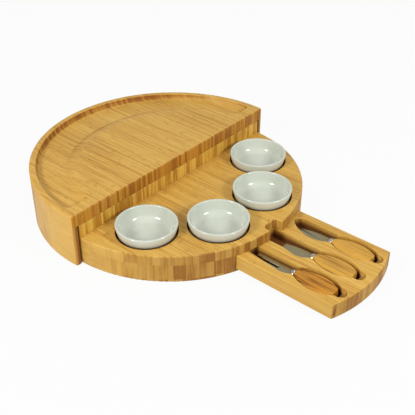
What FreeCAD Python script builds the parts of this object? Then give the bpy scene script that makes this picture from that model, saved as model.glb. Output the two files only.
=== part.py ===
import FreeCAD, Part
import math
import os
import re
import Sketcher

# Swivel cheese board of bamboo. A raised half disc stands on a curved wall. A lower half disc, the
# tray, carries four dishes and a knife drawer and turns about an upright bolt to go under the raised half.
# Frame: the origin is where the swivel axis meets the table, +Z up, +X along the straight side of the
# raised half, -Y towards the tray and the drawer. Lengths are millimetres, angles are degrees.

# Driving dimensions
SIZES = {
    # raised half
    "board_height": 66, "cover_radius": 165, "cover_centre_y": 5.5, "wall_thickness": 6.5,
    "plate_thickness": 15, "edge_round": 2, "corner_round": 2.5, "foot_round": 1.2,
    # crescent groove in the top plate
    "rim_width": 8, "moat_depth": 6.5, "moat_end_width": 27, "moat_inner_centre_y": -11,
    "moat_end_y": 7.5, "moat_corner": 7, "moat_cove": 5.5, "moat_lip": 6, "rim_lip": 0.8,
    # tray
    "tray_side_gap": 2, "fence_thickness": 16, "plate_gap": 1, "base_thickness": 3.5,
    "deck_thickness": 12, "deck_round": 1.5, "fence_round": 0.8,
    # drawer
    "drawer_width": 114, "drawer_height": 18, "drawer_under_gap": 0.3, "drawer_over_gap": 0.7,
    "drawer_side_gap": 1, "drawer_back_gap": 0.5, "channel_back_y": -12, "drawer_travel": 121.5,
    "drawer_round": 1.2, "drawer_corner_round": 1.5,
    "notch_width": 22, "notch_depth": 10.5, "notch_corner": 5,
    # drawer stop
    "peg_radius": 2.5, "peg_inset": 14, "peg_seat": 2.5, "stop_gap": 0.3, "stop_groove_depth": 3.6,
    "peg_top_gap": 0.8, "stop_groove_side_gap": 0.4,
    # pivot hardware
    "bolt_radius": 3, "bolt_clearance": 0.05, "head_radius": 5, "head_height": 6, "head_gap": 0.2,
    "washer_radius": 6, "washer_thickness": 1.2, "counterbore_gap": 0.4, "hex_width": 5, "hex_depth": 3,
    "insert_radius": 4.5, "insert_length": 11, "spacer_radius": 7, "spacer_gap": 0.1, "thread_end_gap": 1,
    # how far a cutting shape reaches past the face that it cuts
    "overrun": 1,
    # dishes
    "dish_spacing_angle": 41.3, "dish_margin": 9.1, "dish_space": 9.55, "dish_lean": 3.6,
    "dish_height": 20.7, "dish_wall": 2.8, "dish_floor": 3.2, "dish_heel_round": 6.5,
    "dish_inner_round": 5, "dish_rim_round": 1.3, "dish_gap": 1.5, "recess_depth": 9.5, "recess_round": 0.6,
    # knives, shared
    "knife_pitch": 36, "ferrule_setback": 75, "ferrule_length": 5, "ferrule_front_radius": 4.2,
    "handle_length": 49.5, "handle_neck_width": 12, "handle_width": 28, "handle_butt_width": 13,
    "handle_belly": 28, "handle_thickness": 11, "handle_round": 3,
    "blade_thickness": 1.5, "tang_width": 5, "tang_length": 30,
    "slot_depth": 11.8, "slot_gap": 1.3, "slot_end_gap": 5.1, "slot_end_width": 10,
    "slot_neck_length": 4.5, "heel_length": 3,
    "scoop_radius": 7.2, "scoop_depth": 5, "scoop_cove": 4.5,
    # fork
    "fork_spine": 5.7, "fork_belly": 10.7, "fork_belly_at": 8, "fork_tip_belly": 5.3, "fork_length": 46,
    "prong_root": 16.5, "prong_gap": 3.2, "prong_taper": 8, "prong_point": 1.3, "prong_tip": 2.6,
    "fork_slot_side": 7, "fork_slot_reach": 53,
    # spreader
    "spreader_spine": 6.6, "spreader_belly": 14.2, "spreader_belly_at": 11, "spreader_tip_belly": 10.9,
    "spreader_length": 35, "spreader_nose": 5.5, "spreader_straight": 10, "spreader_end_width": 7.5,
    "spreader_slot_side": 9.2, "spreader_slot_reach": 57,
    # small knife with a curved edge and a point
    "paring_spine": 6.8, "paring_belly": 13.3, "paring_belly_at": 15, "paring_length": 41,
    "paring_point_x": -1, "paring_straight": 10, "paring_slot_side": 10, "paring_slot_reach": 49,
    "paring_slot_shoulder": 11, "paring_slot_point_x": 1,
}

# Sizes that follow from the driving dimensions
DERIVED = {
    "plate_bottom": "board_height - plate_thickness",
    "half_fence": "fence_thickness / 2",
    "moat_outer_radius": "cover_radius - rim_width",
    "moat_inner_radius": "moat_outer_radius - moat_end_width",
    "tray_radius": "cover_radius - wall_thickness - tray_side_gap",
    "drawer_bottom": "base_thickness + drawer_under_gap",
    "drawer_top": "drawer_bottom + drawer_height",
    "core_top": "drawer_top + drawer_over_gap",
    "deck_top": "core_top + deck_thickness",
    "fence_top": "plate_bottom - plate_gap",
    "channel_half": "drawer_width / 2 + drawer_side_gap",
    "drawer_front_y": "-tray_radius - drawer_travel",
    "drawer_back_y": "channel_back_y - drawer_back_gap - drawer_travel",
    "bore_radius": "bolt_radius + bolt_clearance",
    "counterbore_radius": "washer_radius + counterbore_gap",
    "head_bottom": "base_thickness + head_gap",
    "counterbore_top": "head_bottom + head_height + washer_thickness",
    "insert_top": "plate_bottom + insert_length",
    "peg_y": "-tray_radius + peg_inset",
    "stop_groove_half": "peg_radius + stop_groove_side_gap",
    "dish_half_angle": "dish_spacing_angle / 2 * 1deg",
    "dish_reach": "tray_radius - dish_margin",
    "dish_rim_radius": "(dish_reach * sin(dish_half_angle) - dish_space / 2) / (1 + sin(dish_half_angle))",
    "dish_foot_radius": "dish_rim_radius - dish_lean",
    "dish_circle_radius": "dish_reach - dish_rim_radius",
    "dish_bottom": "deck_top - recess_depth",
    "dish_slope": "(dish_rim_radius - dish_foot_radius) / dish_height",
    "recess_radius": "dish_foot_radius + dish_slope * recess_depth + dish_gap",
    "ferrule_y": "drawer_front_y + ferrule_setback",
    "slot_floor": "drawer_top - slot_depth",
    "knife_axis_z": "slot_floor + handle_thickness / 2",
    "butt_length": "ferrule_length + handle_length",
    "belly_length": "ferrule_length + handle_belly",
    "slot_end_length": "butt_length + slot_end_gap",
    "neck_half": "handle_neck_width / 2",
    "belly_half": "handle_width / 2",
    "butt_half": "handle_butt_width / 2",
    "slot_end_half": "slot_end_width / 2",
    "tang_half": "tang_width / 2",
}

doc = FreeCAD.newDocument("swivel_cheese_board")
sheet = doc.addObject("Spreadsheet::Sheet", "dims")
for row, (alias, content) in enumerate({**SIZES, **DERIVED}.items(), start=1):
    sheet.set(f"A{row}", alias)
    sheet.set(f"B{row}", f"={content}" if alias in DERIVED else str(content))
    sheet.setAlias(f"B{row}", alias)
doc.recompute()


# Helpers
def linked(text):
    """An expression with each size name pointing at its cell of the sheet."""
    def point(match):
        word = match.group(0)
        return f"dims.{word}" if word in SIZES or word in DERIVED else word
    return re.sub(r"[A-Za-z_]\w*", point, text)


def size(text):
    """The present value of an expression of size names."""
    return float(sheet.evalExpression(text))


def bind(item, **expressions):
    for name, text in expressions.items():
        item.setExpression(name.replace("__", "."), linked(text))


def place(item, x="0", y="0", z="0"):
    bind(item, Placement__Base__x=x, Placement__Base__y=y, Placement__Base__z=z)


def cylinder(name, radius, z_from, z_to, x="0", y="0"):
    item = doc.addObject("Part::Cylinder", name)
    bind(item, Radius=radius, Height=f"({z_to}) - ({z_from})")
    place(item, x, y, z_from)
    return item


def cone(name, radius_low, radius_high, z_from, z_to, x="0", y="0"):
    item = doc.addObject("Part::Cone", name)
    bind(item, Radius1=radius_low, Radius2=radius_high, Height=f"({z_to}) - ({z_from})")
    place(item, x, y, z_from)
    return item


def block(name, x_range, y_range, z_range):
    item = doc.addObject("Part::Box", name)
    lengths = [f"({high}) - ({low})" for low, high in (x_range, y_range, z_range)]
    bind(item, Length=lengths[0], Width=lengths[1], Height=lengths[2])
    place(item, x_range[0], y_range[0], z_range[0])
    return item


def cut(name, base, tool):
    item = doc.addObject("Part::Cut", name)
    item.Base = base
    item.Tool = tool
    return item


def common(name, first, second):
    item = doc.addObject("Part::Common", name)
    item.Base = first
    item.Tool = second
    return item


def joined(name, shapes):
    item = doc.addObject("Part::MultiFuse", name)
    item.Shapes = shapes
    item.Refine = True
    return item


def rounded(name, base, *rules):
    """Fillets on the edges that each rule picks: a rule is a test on an edge and a radius."""
    doc.recompute()
    picked = []
    for number, edge in enumerate(base.Shape.Edges, start=1):
        radii = [size(radius) for test, radius in rules if test(edge)]
        if radii:
            picked.append((number, radii[0], radii[0]))
    if not picked:
        raise ValueError(f"{name}: no edge to round")
    item = doc.addObject("Part::Fillet", name)
    item.Base = base
    item.Edges = picked
    return item


TOUCH = 1e-4


def flat_at(height):
    level = size(height)
    return lambda edge: max(abs(edge.BoundBox.ZMin - level), abs(edge.BoundBox.ZMax - level)) < TOUCH


def upright(edge):
    box = edge.BoundBox
    return box.ZLength > TOUCH and max(box.XLength, box.YLength) < TOUCH


def both(first, second):
    return lambda edge: first(edge) and second(edge)


def reaches_y(position):
    level = size(position)
    return lambda edge: min(abs(edge.BoundBox.YMin - level), abs(edge.BoundBox.YMax - level)) < TOUCH


def at_y(position):
    level = size(position)
    return lambda edge: max(abs(edge.BoundBox.YMin - level), abs(edge.BoundBox.YMax - level)) < TOUCH


def in_front_of(position):
    level = size(position)
    return lambda edge: edge.BoundBox.YMin < level - TOUCH


def arc_of(radius):
    wanted = size(radius)
    return lambda edge: isinstance(edge.Curve, Part.Circle) and abs(edge.Curve.Radius - wanted) < TOUCH


def outline(sketch, path):
    """A closed outline. Each vertex is (x, y) for a straight side that ends there, or (x, y, radius)
    for an arc, bulging to the right of the way the outline runs. Every corner is bound to the sheet."""
    points = [FreeCAD.Vector(size(corner[0]), size(corner[1]), 0) for corner in path]
    for number, corner in enumerate(path):
        start, end = points[number - 1], points[number]
        if len(corner) == 2:
            sketch.addGeometry(Part.LineSegment(start, end))
            continue
        radius = size(corner[2])
        chord = end - start
        height = radius - math.sqrt(radius ** 2 - (chord.Length / 2) ** 2)
        outward = FreeCAD.Vector(chord.y, -chord.x, 0).normalize()
        sketch.addGeometry(Part.Arc(start, (start + end) / 2 + outward * height, end))
    for number, corner in enumerate(path):
        geometry = sketch.Geometry[number]
        is_arc = len(corner) == 3
        # an arc's own end points run anticlockwise, which is the way these outlines run
        after = (number + 1) % len(path)
        sketch.addConstraint(Sketcher.Constraint("Coincident", number, 2, after, 1))
        for kind, text in (("DistanceX", corner[0]), ("DistanceY", corner[1])):
            index = sketch.addConstraint(Sketcher.Constraint(kind, -1, 1, number, 2, size(text)))
            sketch.setExpression(f"Constraints[{index}]", linked(text))
        if is_arc:
            index = sketch.addConstraint(Sketcher.Constraint("Radius", number, geometry.Radius))
            sketch.setExpression(f"Constraints[{index}]", linked(corner[2]))


def padded(name, path, thickness, x, y, z):
    """A flat piece: the outline, drawn in XY about (x, y), padded upwards from z."""
    body = doc.addObject("PartDesign::Body", name)
    sketch = body.newObject("Sketcher::SketchObject", f"{name}_outline")
    plane = next(item for item in body.Origin.OriginFeatures if item.Role == "XY_Plane")
    sketch.AttachmentSupport = [(plane, "")]
    sketch.MapMode = "FlatFace"
    outline(sketch, path)
    pad = body.newObject("PartDesign::Pad", f"{name}_pad")
    pad.Profile = sketch
    bind(pad, Length=thickness)
    place(body, x, y, z)
    return body


def bore(name, base, radius="bore_radius", z_from="-overrun", z_to="board_height"):
    """The base with a round hole on the swivel axis."""
    return cut(name, base, cylinder(f"{name}_drill", radius, z_from, z_to))


def half_disc(name, radius, centre_y, y_range, z_from, z_to):
    """A disc cut off along X."""
    disc = cylinder(f"{name}_disc", radius, z_from, z_to, "0", centre_y)
    keep = block(f"{name}_keep", (f"-{radius} - overrun", f"{radius} + overrun"), y_range, (z_from, z_to))
    return common(name, disc, keep)


NODES = {}


def node(label, item):
    """Names a finished piece."""
    item.Label = label
    NODES[label] = item
    return item


# Raised half
COVER_DEPTH = ("-half_fence", "cover_centre_y + cover_radius + overrun")


def make_top_plate():
    blank = half_disc("plate_blank", "cover_radius", "cover_centre_y", COVER_DEPTH,
                      "plate_bottom", "board_height")
    seat = cylinder("insert_seat", "insert_radius", "plate_bottom", "insert_top")
    drilled = cut("plate_drilled", blank, seat)
    shaped = rounded("plate_shaped", drilled,
                     (both(upright, reaches_y("-half_fence")), "corner_round"))
    # the groove is the ring between two circles, cut off straight at its ends
    depth = ("board_height - moat_depth", "board_height + overrun")
    outer = cylinder("moat_outer", "moat_outer_radius", *depth, "0", "cover_centre_y")
    inner = cylinder("moat_inner", "moat_inner_radius", *depth, "0", "moat_inner_centre_y")
    ring = cut("moat_ring", outer, inner)
    keep = block("moat_keep", ("-cover_radius", "cover_radius"),
                 ("moat_end_y", "cover_centre_y + cover_radius"), depth)
    crescent = common("moat_crescent", ring, keep)
    cornered = rounded("moat_cornered", crescent, (upright, "moat_corner"))
    router_path = rounded("moat_router_path", cornered, (flat_at("board_height - moat_depth"), "moat_cove"))
    grooved = cut("plate_grooved", shaped, router_path)
    top = flat_at("board_height")

    def on_plateau(edge):
        return top(edge) and arc_of("moat_inner_radius")(edge)

    def on_groove(edge):
        box = edge.BoundBox
        return top(edge) and box.YMin > size("moat_end_y") - TOUCH and not arc_of("cover_radius")(edge)

    finished = rounded("plate_finished", grooved,
                       (on_plateau, "moat_lip"), (on_groove, "rim_lip"), (top, "edge_round"))
    return node("top_plate", finished)


def make_cover_wall():
    outer = half_disc("wall_outer", "cover_radius", "cover_centre_y", COVER_DEPTH, "0", "plate_bottom")
    inner = cylinder("wall_inner", "cover_radius - wall_thickness", "-overrun", "plate_bottom + overrun",
                     "0", "cover_centre_y")
    ring = cut("wall_ring", outer, inner)

    def on_outer_corner(edge):
        radius = math.hypot(edge.CenterOfMass.x, edge.CenterOfMass.y - size("cover_centre_y"))
        return upright(edge) and abs(radius - size("cover_radius")) < TOUCH

    cornered = rounded("wall_cornered", ring, (on_outer_corner, "corner_round"))
    return node("cover_wall", rounded("wall_finished", cornered, (flat_at("0"), "foot_round")))


def make_pivot_hardware():
    shell = cylinder("insert_shell", "insert_radius", "plate_bottom", "insert_top")
    node("pivot_insert", bore("insert_tapped", shell, "bolt_radius"))
    shank = cylinder("bolt_shank", "bolt_radius", "head_bottom", "insert_top - thread_end_gap")
    head = cylinder("bolt_head", "head_radius", "head_bottom", "head_bottom + head_height")
    socket = doc.addObject("Part::Prism", "bolt_socket")
    socket.Polygon = 6
    bind(socket, Circumradius="hex_width / sqrt(3)", Height="hex_depth")
    place(socket, z="head_bottom")
    node("pivot_bolt", cut("bolt_finished", joined("bolt_blank", [shank, head]), socket))
    washer = cylinder("washer_disc", "washer_radius", "head_bottom + head_height", "counterbore_top")
    node("pivot_washer", bore("washer_bored", washer))
    spacer = cylinder("spacer_disc", "spacer_radius", "fence_top", "plate_bottom - spacer_gap")
    node("pivot_spacer", bore("spacer_bored", spacer))


# Tray
TRAY_DEPTH = ("-tray_radius - overrun", "half_fence")


def make_tray_base():
    blank = half_disc("base_blank", "tray_radius", "0", TRAY_DEPTH, "0", "base_thickness")
    peg_seat = cylinder("peg_seat_drill", "peg_radius", "base_thickness - peg_seat",
                        "base_thickness + overrun", "0", "peg_y")
    seated = cut("base_seated", blank, peg_seat)
    rim = both(flat_at("0"), arc_of("tray_radius"))
    node("tray_base", rounded("base_finished", seated, (rim, "foot_round")))


def make_tray_core():
    sides = {
        "left": ("-tray_radius - overrun", "-channel_half"),
        "right": ("channel_half", "tray_radius + overrun"),
    }
    for side, x_range in sides.items():
        disc = cylinder(f"core_{side}_disc", "tray_radius", "base_thickness", "core_top")
        keep = block(f"core_{side}_keep", x_range, TRAY_DEPTH, ("base_thickness", "core_top"))
        node(f"tray_core_{side}", common(f"core_{side}", disc, keep))
    back = block("core_back_blank", ("-channel_half", "channel_half"), ("channel_back_y", "half_fence"),
                 ("base_thickness", "core_top"))
    bored = bore("core_back_bored", back)
    node("tray_core_back", bore("core_back_sunk", bored, "counterbore_radius", "0", "counterbore_top"))


def dish_places():
    """Each dish's name and place, counted from the left along the tray's edge."""
    names = ("dish_left_outer", "dish_left_inner", "dish_right_inner", "dish_right_outer")
    middle = (len(names) - 1) / 2
    for count, name in enumerate(names):
        angle = f"({count - middle} * dish_spacing_angle * 1deg)"
        yield name, f"dish_circle_radius * sin({angle})", f"-dish_circle_radius * cos({angle})"


def make_tray_deck():
    blank = half_disc("deck_blank", "tray_radius", "0", TRAY_DEPTH, "core_top", "deck_top")
    notch = block("notch_blank", ("-notch_width / 2", "notch_width / 2"),
                  ("-tray_radius - overrun", "-tray_radius + notch_depth"),
                  ("core_top - overrun", "deck_top + overrun"))
    notch_corners = both(upright, reaches_y("-tray_radius + notch_depth"))
    notched = cut("deck_notched", blank, rounded("notch_tool", notch, (notch_corners, "notch_corner")))
    open_edge = both(flat_at("deck_top"), in_front_of("-half_fence"))
    edged = rounded("deck_edged", notched, (open_edge, "deck_round"))
    recesses = [cylinder(f"{name}_recess", "recess_radius", "dish_bottom", "deck_top + overrun", x, y)
                for name, x, y in dish_places()]
    recessed = cut("deck_recessed", edged, joined("deck_recesses", recesses))
    softened = rounded("deck_softened", recessed,
                       (both(flat_at("deck_top"), arc_of("recess_radius")), "recess_round"))
    node("tray_deck", bore("deck_bored", softened))


def make_tray_fence():
    bar = half_disc("fence_blank", "tray_radius", "0", ("-half_fence", "half_fence"), "deck_top", "fence_top")
    edged = rounded("fence_edged", bar, (both(flat_at("fence_top"), at_y("-half_fence")), "fence_round"))
    node("tray_fence", bore("fence_bored", edged))


def make_stop_peg():
    node("drawer_stop_peg", cylinder("stop_peg", "peg_radius", "base_thickness - peg_seat",
                                     "drawer_bottom + stop_groove_depth - peg_top_gap", "0", "peg_y"))


# Dishes
def make_dishes():
    for name, x, y in dish_places():
        outside = cone(f"{name}_outside", "dish_foot_radius", "dish_rim_radius", "dish_bottom",
                       "dish_bottom + dish_height", x, y)
        heeled = rounded(f"{name}_heeled", outside, (flat_at("dish_bottom"), "dish_heel_round"))
        inside = cone(f"{name}_inside", "dish_foot_radius + dish_slope * dish_floor - dish_wall",
                      "dish_rim_radius - dish_wall", "dish_bottom + dish_floor", "dish_bottom + dish_height",
                      x, y)
        hollow = rounded(f"{name}_hollow", inside, (flat_at("dish_bottom + dish_floor"), "dish_inner_round"))
        shell = cut(f"{name}_shell", heeled, hollow)
        rim = flat_at("dish_bottom + dish_height")
        node(name, rounded(f"{name}_glazed", shell, (rim, "dish_rim_round")))


# Knives
# Each outline is drawn about the front of the ferrule: the blade runs to +Y and the handle to -Y.
SIDE_RADIUS = "(({0}) ^ 2 + ({1}) ^ 2) / 2 / ({0})"


def handle_path(margin, length, end_half):
    """Half widths grow from the neck to the belly and shrink to the end, with arcs upright at the belly."""
    neck, belly = f"neck_half + {margin}", f"belly_half + {margin}"
    front = SIDE_RADIUS.format("belly_half - neck_half", "handle_belly")
    rear = SIDE_RADIUS.format(f"{belly} - {end_half}", f"{length} - belly_length")
    return [
        (f"-({neck})", "-ferrule_length"),
        (f"-({belly})", "-belly_length", front),
        (f"-{end_half}", f"-{length}", rear),
        (end_half, f"-{length}"),
        (belly, "-belly_length", rear),
        (neck, "-ferrule_length", front),
    ]


def blade_path(name, spine_and_tip):
    """A blade's outline, anticlockwise from the tang's end: up the spine, round the tip, down the belly."""
    rise, run = f"{name}_belly - tang_half", f"{name}_belly_at"
    return [
        ("-tang_half", "-tang_length"),
        ("tang_half", "-tang_length"),
        ("tang_half", "0"),
        (f"{name}_spine", "heel_length"),
        *spine_and_tip,
        ("-tang_half", "0", SIDE_RADIUS.format(rise, run)),
    ]


def blade_slot_path(name, tip):
    """A blade slot's outline: straight on the spine's side, and following the belly on the other."""
    neck = "neck_half + slot_gap"
    rise, run = f"{name}_belly + slot_gap - ({neck})", f"{name}_belly_at + slot_neck_length"
    return [
        (f"{name}_slot_side", "-ferrule_length"),
        *tip,
        (f"-({neck})", "-slot_neck_length", SIDE_RADIUS.format(rise, run)),
        (f"-({neck})", "-ferrule_length"),
    ]


FORK_TIP = [
    ("fork_spine", "fork_length - prong_taper"),
    ("fork_spine - prong_point", "fork_length"),
    ("fork_spine - prong_point - prong_tip", "fork_length"),
    ("0", "fork_length - prong_taper"),
    ("0", "prong_root"),
    ("-prong_gap / 2", "prong_root - prong_gap / 2"),
    ("-prong_gap", "prong_root"),
    ("-prong_gap", "fork_length - prong_taper"),
    ("-fork_tip_belly + prong_point", "fork_length"),
    ("-fork_tip_belly", "fork_length"),
    ("-fork_belly", "fork_belly_at"),
]
FORK_SLOT_TIP = [
    ("fork_slot_side", "fork_slot_reach"),
    ("-fork_tip_belly - slot_gap", "fork_slot_reach"),
    ("-fork_belly - slot_gap", "fork_belly_at"),
]
SPREADER_END_X = "spreader_end_width - spreader_tip_belly + spreader_nose"
SPREADER_TIP = [
    ("spreader_spine", "spreader_straight"),
    (SPREADER_END_X, "spreader_length",
     SIDE_RADIUS.format(f"spreader_spine - ({SPREADER_END_X})", "spreader_length - spreader_straight")),
    ("-spreader_tip_belly + spreader_nose", "spreader_length"),
    ("-spreader_tip_belly", "spreader_length - spreader_nose", "spreader_nose"),
    ("-spreader_belly", "spreader_belly_at"),
]
SPREADER_SLOT_TIP = [
    ("spreader_slot_side", "spreader_slot_reach"),
    ("-spreader_tip_belly - slot_gap", "spreader_slot_reach"),
    ("-spreader_tip_belly - slot_gap", "spreader_length - spreader_nose"),
    ("-spreader_belly - slot_gap", "spreader_belly_at"),
]
PARING_TIP = [
    ("paring_spine", "paring_straight"),
    ("paring_point_x", "paring_length",
     SIDE_RADIUS.format("paring_spine - paring_point_x", "paring_length - paring_straight")),
    ("-paring_belly", "paring_belly_at",
     SIDE_RADIUS.format("paring_belly + paring_point_x", "paring_length - paring_belly_at")),
]
PARING_SLOT_CURVE = ("paring_belly + slot_gap + paring_slot_point_x", "paring_slot_reach - paring_belly_at")
PARING_SLOT_TIP = [
    ("paring_slot_side", "paring_slot_reach - paring_slot_shoulder"),
    ("paring_slot_point_x", "paring_slot_reach",
     SIDE_RADIUS.format("paring_slot_side - paring_slot_point_x", "paring_slot_shoulder")),
    ("-paring_belly - slot_gap", "paring_belly_at", SIDE_RADIUS.format(*PARING_SLOT_CURVE)),
]
# each knife's place along X, its blade's outline and its blade slot's outline
KNIVES = {
    "fork": ("-knife_pitch", blade_path("fork", FORK_TIP), blade_slot_path("fork", FORK_SLOT_TIP)),
    "spreader": ("0", blade_path("spreader", SPREADER_TIP), blade_slot_path("spreader", SPREADER_SLOT_TIP)),
    "paring_knife": ("knife_pitch", blade_path("paring", PARING_TIP),
                     blade_slot_path("paring", PARING_SLOT_TIP)),
}


def make_knife(name, x, path):
    blade = padded(f"{name}_blade_body", path, "blade_thickness", x, "ferrule_y",
                   "knife_axis_z - blade_thickness / 2")
    node(f"{name}_blade", blade)
    ferrule = doc.addObject("Part::Cone", f"{name}_ferrule_cone")
    bind(ferrule, Radius1="handle_thickness / 2", Radius2="ferrule_front_radius", Height="ferrule_length")
    ferrule.Placement.Rotation = FreeCAD.Rotation(FreeCAD.Vector(1, 0, 0), -90)
    place(ferrule, x, "ferrule_y - ferrule_length", "knife_axis_z")
    node(f"{name}_ferrule", cut(f"{name}_ferrule_slotted", ferrule, blade))
    grip = padded(f"{name}_grip", handle_path("0", "butt_length", "butt_half"), "handle_thickness",
                  x, "ferrule_y", "slot_floor")
    low, high = flat_at("slot_floor"), flat_at("slot_floor + handle_thickness")
    butt = at_y("ferrule_y - butt_length")
    neck = at_y("ferrule_y - ferrule_length")

    def on_side(edge):
        return (low(edge) or high(edge)) and not butt(edge) and not neck(edge)

    eased = rounded(f"{name}_grip_eased", grip, (on_side, "handle_round"))
    node(f"{name}_handle", cut(f"{name}_handle_slotted", eased, blade))


# Drawer
def make_drawer():
    blank = block("drawer_blank", ("-drawer_width / 2", "drawer_width / 2"),
                  ("drawer_front_y - overrun", "drawer_back_y"), ("drawer_bottom", "drawer_top"))
    front = cylinder("drawer_front", "tray_radius", "drawer_bottom", "drawer_top", "0", "-drawer_travel")
    curved = common("drawer_curved", blank, front)

    def on_front_corner(edge):
        return upright(edge) and edge.CenterOfMass.y < size("drawer_back_y") - TOUCH

    cornered = rounded("drawer_cornered", curved, (on_front_corner, "drawer_corner_round"))
    edged = rounded("drawer_edged", cornered, (flat_at("drawer_top"), "drawer_round"))
    depth = "slot_depth + overrun"
    pockets = []
    for name, (x, _, slot_path) in KNIVES.items():
        pockets.append(padded(f"{name}_blade_slot", slot_path, depth, x, "ferrule_y", "slot_floor"))
        handle_slot = handle_path("slot_gap", "slot_end_length", "slot_end_half")
        pockets.append(padded(f"{name}_handle_slot", handle_slot, depth, x, "ferrule_y", "slot_floor"))
        scoop = cylinder(f"{name}_scoop", "scoop_radius", "drawer_top - scoop_depth", "drawer_top + overrun",
                         x, "ferrule_y - slot_end_length")
        scoop_floor = flat_at("drawer_top - scoop_depth")
        pockets.append(rounded(f"{name}_scoop_tool", scoop, (scoop_floor, "scoop_cove")))
    slotted = cut("drawer_slotted", edged, joined("drawer_pockets", pockets))
    node("drawer", cut("drawer_grooved", slotted, stop_groove()))


def stop_groove():
    """The groove under the drawer that the peg runs in: its rear end meets the peg when the drawer is out."""
    rear = "peg_y + peg_radius + stop_gap - stop_groove_half"
    front = "peg_y - drawer_travel - stop_gap"
    z_range = ("drawer_bottom - overrun", "drawer_bottom + stop_groove_depth")
    return joined("stop_groove", [
        block("stop_groove_run", ("-stop_groove_half", "stop_groove_half"), (front, rear), z_range),
        cylinder("stop_groove_rear", "stop_groove_half", *z_range, "0", rear),
        cylinder("stop_groove_front", "stop_groove_half", *z_range, "0", front),
    ])


make_top_plate()
make_cover_wall()
make_pivot_hardware()
make_tray_base()
make_tray_core()
make_tray_deck()
make_tray_fence()
make_stop_peg()
make_drawer()
make_dishes()
for knife, (place_x, path, _) in KNIVES.items():
    make_knife(knife, place_x, path)

doc.recompute()
for item in doc.Objects:
    if {"Invalid", "Error"} & set(item.State):
        raise ValueError(f"{item.Name} failed: {item.State}")
os.makedirs("parts", exist_ok=True)
for label, item in NODES.items():
    shape = item.Shape
    if shape.isNull() or not shape.isValid() or len(shape.Solids) != 1:
        raise ValueError(f"{label}: bad shape, {len(shape.Solids)} solids")
    print(f"{label}: {shape.Volume / 1000:.1f} cm3")
    shape.exportStep(f"parts/{label}.step")
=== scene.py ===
import math

import bmesh
import bpy
from bpy.props import FloatProperty, FloatVectorProperty, IntProperty, PointerProperty
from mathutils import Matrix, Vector


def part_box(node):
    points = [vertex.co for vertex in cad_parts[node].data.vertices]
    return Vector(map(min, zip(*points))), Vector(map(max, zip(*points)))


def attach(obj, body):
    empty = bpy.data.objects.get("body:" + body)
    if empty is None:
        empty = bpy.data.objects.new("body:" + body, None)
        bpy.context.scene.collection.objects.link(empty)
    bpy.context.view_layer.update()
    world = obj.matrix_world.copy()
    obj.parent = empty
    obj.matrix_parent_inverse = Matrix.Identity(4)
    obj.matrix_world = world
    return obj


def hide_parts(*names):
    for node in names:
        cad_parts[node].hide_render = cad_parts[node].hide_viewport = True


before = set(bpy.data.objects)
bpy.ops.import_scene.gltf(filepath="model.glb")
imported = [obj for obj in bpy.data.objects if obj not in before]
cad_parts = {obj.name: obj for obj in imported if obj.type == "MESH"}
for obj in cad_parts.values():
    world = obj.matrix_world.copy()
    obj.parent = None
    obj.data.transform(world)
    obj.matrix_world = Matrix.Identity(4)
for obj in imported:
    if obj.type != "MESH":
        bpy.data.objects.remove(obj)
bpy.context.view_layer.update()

bl_info = {
    "name": "Swivel cheese board",
    "version": (1, 0, 0),
    "blender": (4, 5, 0),
    "location": "3D View > Sidebar > Cheese board",
    "description": "Finishes a bamboo cheese board with dishes and knives",
    "category": "Add Mesh",
}

MM = 0.001
BAMBOO_NODES = ("top_plate", "tray_deck", "tray_core_left", "tray_core_right", "tray_core_back",
                "tray_base", "tray_fence", "drawer")
DISHES = ("dish_left_outer", "dish_left_inner", "dish_right_inner", "dish_right_outer")
KNIVES = ("fork", "spreader", "paring_knife")

# Places and sizes of the solids, for the masks. The origin is on the swivel's axis, at the tray's middle.
COVER_CENTRE = (0.0, 5.5 * MM)
CAVITY_RADIUS = 158.5 * MM
GROOVE_RADIUS = 157 * MM
BOARD_TOP = 66 * MM
TRAY_RADIUS = 156.5 * MM
DECK_TOP = 34.5 * MM
RECESS_RADIUS = 34.45 * MM
# centres of the recesses on one side of the tray, as distances from its middle
RECESS_CENTRES = ((39.67 * MM, 105.27 * MM), (99.29 * MM, 52.90 * MM))
DRAWER_HALF_WIDTH = 57 * MM
DRAWER_FRONT_Y = -278 * MM
DRAWER_TOP = 21.8 * MM
STOP_GROOVE_TOP = 7.4 * MM

# Browns that mark the bamboo
KNUCKLE_BROWN = (0.25, 0.105, 0.02)
FLECK_BROWN = (0.34, 0.15, 0.02)
SEAM_BROWN = (0.24, 0.10, 0.02)
SPECK_BROWN = (0.22, 0.10, 0.025)
SOIL_BROWN = (0.42, 0.21, 0.05)

# Noise waves per metre along X, Y and Z: across the bamboo's strips, along them and upwards
STREAK_WAVES = (620.0, 12.0, 400.0)
UPRIGHT_WAVES = (620.0, 12.0, 20.0)
DRIFT_WAVES = (150.0, 7.0, 60.0)
BROAD_WAVES = (14.0, 5.0, 14.0)
RAGGED_WAVES = (600.0, 60.0, 420.0)
DASH_WAVES = (850.0, 95.0, 600.0)
FIBRE_END_WAVES = (1400.0, 60.0, 1100.0)
CLOUD_WAVES = (30.0, 30.0, 30.0)
SCRATCH_WAVES = (35.0, 900.0, 200.0)
GLAZE_WAVES = (45.0, 45.0, 45.0)
WOOD_WAVES = (260.0, 16.0, 200.0)
NYLON_WAVES = (900.0, 900.0, 900.0)

# Small sizes of the dishes and the knives
FOOT_RING_RADIUS = 16.6 * MM
FOOT_RISE = 0.8 * MM
FORK_GRIND = 0.35 * MM
# how far behind its neck a handle has grown square, and thick
SQUARING_RUN = 9 * MM
THICKENING_RUN = 12 * MM

# The stage
FLOOR_HALF_WIDTH = 6.0
FLOOR_DROP = 0.2 * MM
FLOOR_GREY = 0.62
FLOOR_GLOW = 0.94
WORLD_STRENGTH = 0.565
SOFTBOX_WIDTH = 0.30
LIGHTS_AIM = (0.0, -0.06, 0.0)


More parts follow.
